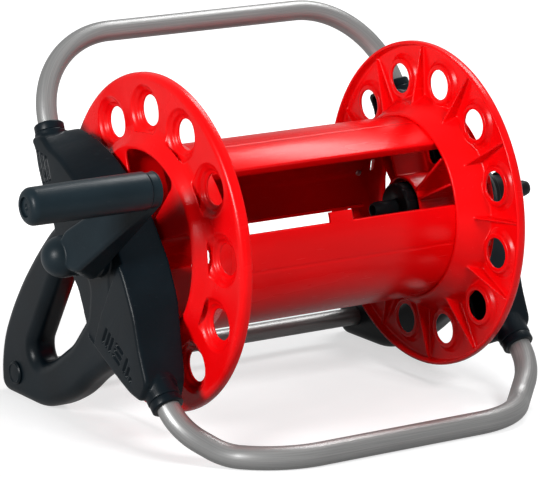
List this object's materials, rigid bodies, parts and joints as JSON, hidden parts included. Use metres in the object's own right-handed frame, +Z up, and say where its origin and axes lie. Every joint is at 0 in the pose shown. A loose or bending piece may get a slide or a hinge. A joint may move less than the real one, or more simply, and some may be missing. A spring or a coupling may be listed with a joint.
{
  "type": "garden hose reel",
  "caption": "Free-standing garden hose reel: drum between two side frames on bent tubes, turned by a crank with a spinning grip, with a carrying handle and a hose coupling in the core.",
  "frame": {"origin": "on the floor, under the middle of the whole reel's outline", "axes": "+Z up, +X along the drum axis away from the crank, -Y towards the front, where the foot tube is"},
  "size_m": [0.636, 0.3916, 0.3617],
  "materials": {
    "red_plastic": "glossy moulded plastic",
    "frame_plastic": "satin moulded plastic",
    "crank_plastic": "satin moulded plastic",
    "fitting_plastic": "satin moulded plastic",
    "bush_plastic": "smooth bearing plastic",
    "tube_metal": "satin drawn tube",
    "steel": "zinc plated",
    "seal_rubber": "smooth rubber"
  },
  "bodies": {
    "stand": {"side_frame_left": "frame_plastic", "side_frame_right": "frame_plastic", "handle_tube": "tube_metal", "foot_tube": "tube_metal", "rear_tube": "tube_metal", "rear_plug_left": "frame_plastic", "rear_plug_right": "frame_plastic", "handle_collar_left": "frame_plastic", "handle_collar_right": "frame_plastic", "foot_collar_left": "frame_plastic", "foot_collar_right": "frame_plastic", "frame_screws": "steel", "axle_bush_left": "bush_plastic", "axle_bush_right": "bush_plastic", "thrust_washer_left": "bush_plastic", "thrust_washer_right": "bush_plastic", "inlet_body": "fitting_plastic", "inlet_nut": "fitting_plastic", "inlet_nipple": "fitting_plastic"},
    "drum": {"flange_left": "red_plastic", "flange_right": "red_plastic", "core_shell_upper": "red_plastic", "core_shell_lower": "red_plastic", "core_screws": "steel", "drive_shaft": "fitting_plastic", "set_screws": "steel", "water_shaft": "fitting_plastic", "shaft_seals": "seal_rubber", "hose_coupling": "fitting_plastic", "hose_nipple": "fitting_plastic", "coupling_nut": "fitting_plastic", "crank_arm": "crank_plastic", "grip_pin": "steel", "grip_screw": "steel"},
    "grip": {"grip_sleeve": "crank_plastic", "grip_cap": "crank_plastic"}
  },
  "joints": [
    {"name": "drum_spin", "type": "hinge", "parent": "stand", "child": "drum", "pos_m": [0.039, -0.0025, 0.18], "axis": [1, 0, 0], "continuous": true},
    {"name": "grip_spin", "type": "hinge", "parent": "drum", "child": "grip", "pos_m": [-0.261, -0.12153, 0.26211], "axis": [1, 0, 0], "continuous": true}
  ]
}
